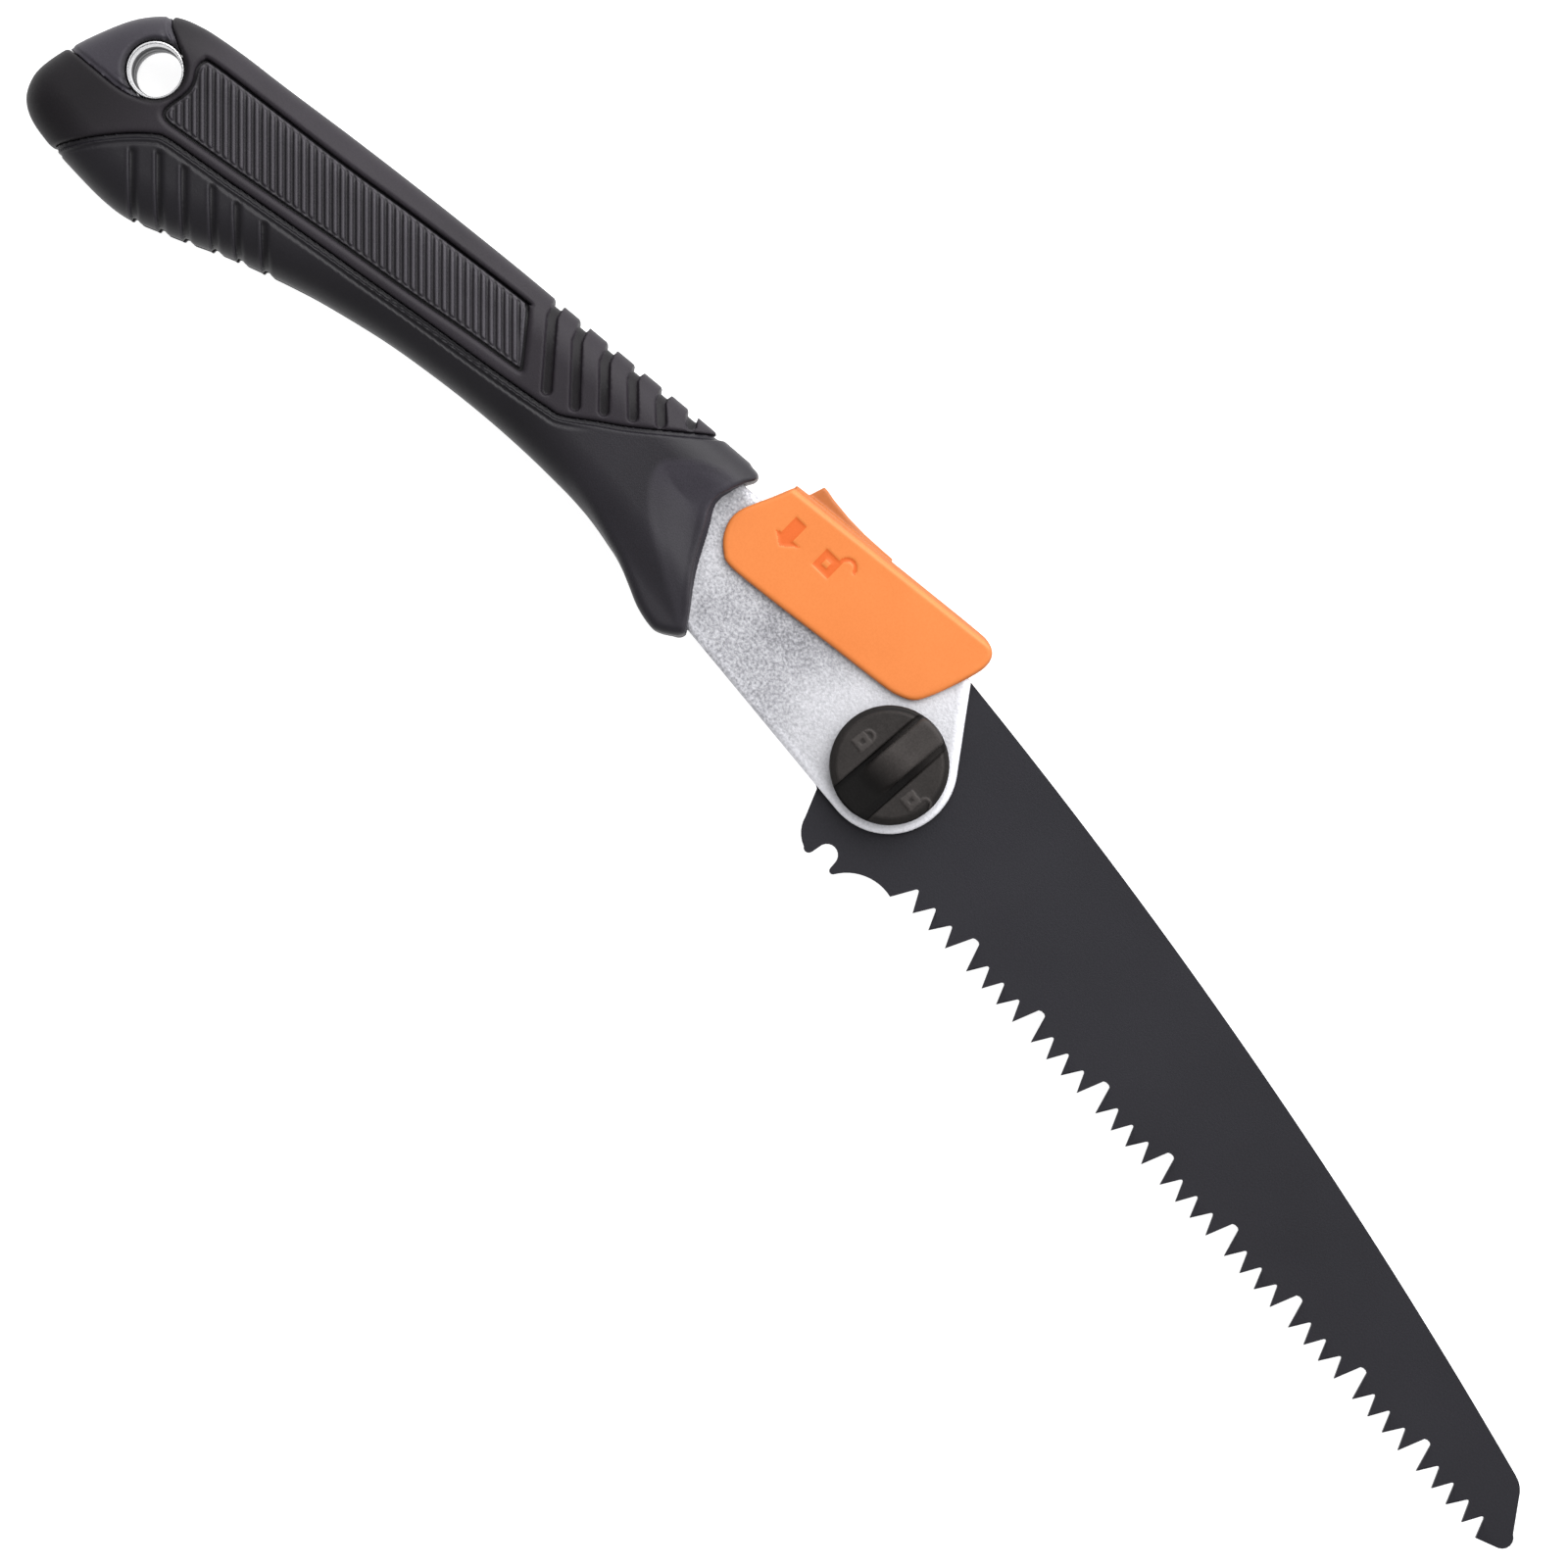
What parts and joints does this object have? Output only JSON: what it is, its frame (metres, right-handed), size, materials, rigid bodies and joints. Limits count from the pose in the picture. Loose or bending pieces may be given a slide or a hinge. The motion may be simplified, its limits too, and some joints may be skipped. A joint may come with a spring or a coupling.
{
  "type": "folding pruning saw",
  "caption": "Folding pruning saw with a curved toothed blade, a knob on its pivot, a sprung lock lever and a rubber-gripped handle.",
  "frame": {"origin": "middle of the bounding box, on the surface that the saw lies on", "axes": "+X from the handle's tail to the blade's tip with the saw open, +Y towards the spine side that carries the lock lever, +Z out of the knob side"},
  "size_m": [0.467, 0.0682, 0.0223],
  "materials": {
    "blade_steel": "matte black hard coating over steel",
    "frame_steel": "silver, fine-grained satin plating",
    "pin_steel": "satin",
    "bearing": "natural acetal, satin",
    "knob_plastic": "dark grey, satin",
    "lever_orange": "orange, satin-gloss",
    "grip_rubber": "matte elastomer",
    "core_plastic": "fine-grained hard plastic",
    "panel_rubber": "matte, ribbed",
    "eyelet_metal": "polished"
  },
  "bodies": {
    "handle": {"frame_plate_front": "frame_steel", "frame_plate_back": "frame_steel", "frame_spacers": "pin_steel", "lever_pin": "pin_steel", "stop_pin": "pin_steel", "spring_post": "pin_steel", "pivot_bolt": "pin_steel", "pivot_bush": "bearing", "pivot_washer_front": "bearing", "pivot_washer_back": "bearing", "knob_washer": "pin_steel", "lock_spring": "pin_steel", "spine_grip_front": "grip_rubber", "spine_grip_back": "grip_rubber", "handle_core_front": "core_plastic", "handle_core_back": "core_plastic", "grip_panel_front": "panel_rubber", "grip_panel_back": "panel_rubber", "handle_screws": "pin_steel", "handle_nuts": "pin_steel", "eyelet_front": "eyelet_metal", "eyelet_back": "eyelet_metal"},
    "blade": {"blade": "blade_steel"},
    "knob": {"knob": "knob_plastic", "knob_nut": "pin_steel"},
    "lever": {"lever_cover": "lever_orange", "lock_latch": "pin_steel"}
  },
  "joints": [
    {"name": "blade_fold", "type": "hinge", "parent": "handle", "child": "blade", "pos_m": [0.01159, -0.00122, 0.0105], "axis": [0, 0, 1], "range_deg": [-168, 0]},
    {"name": "lock_lever", "type": "hinge", "parent": "handle", "child": "lever", "pos_m": [-0.02241, 0.01978, 0.0105], "axis": [0, 0, 1], "range_deg": [-6, 4], "stiffness_Nm_per_rad": 0.6, "deforming": ["lock_spring"]},
    {"name": "knob_turn", "type": "hinge", "parent": "handle", "child": "knob", "pos_m": [0.01159, -0.00122, 0.0165], "axis": [0, 0, 1], "range_deg": [-90, 0]}
  ]
}
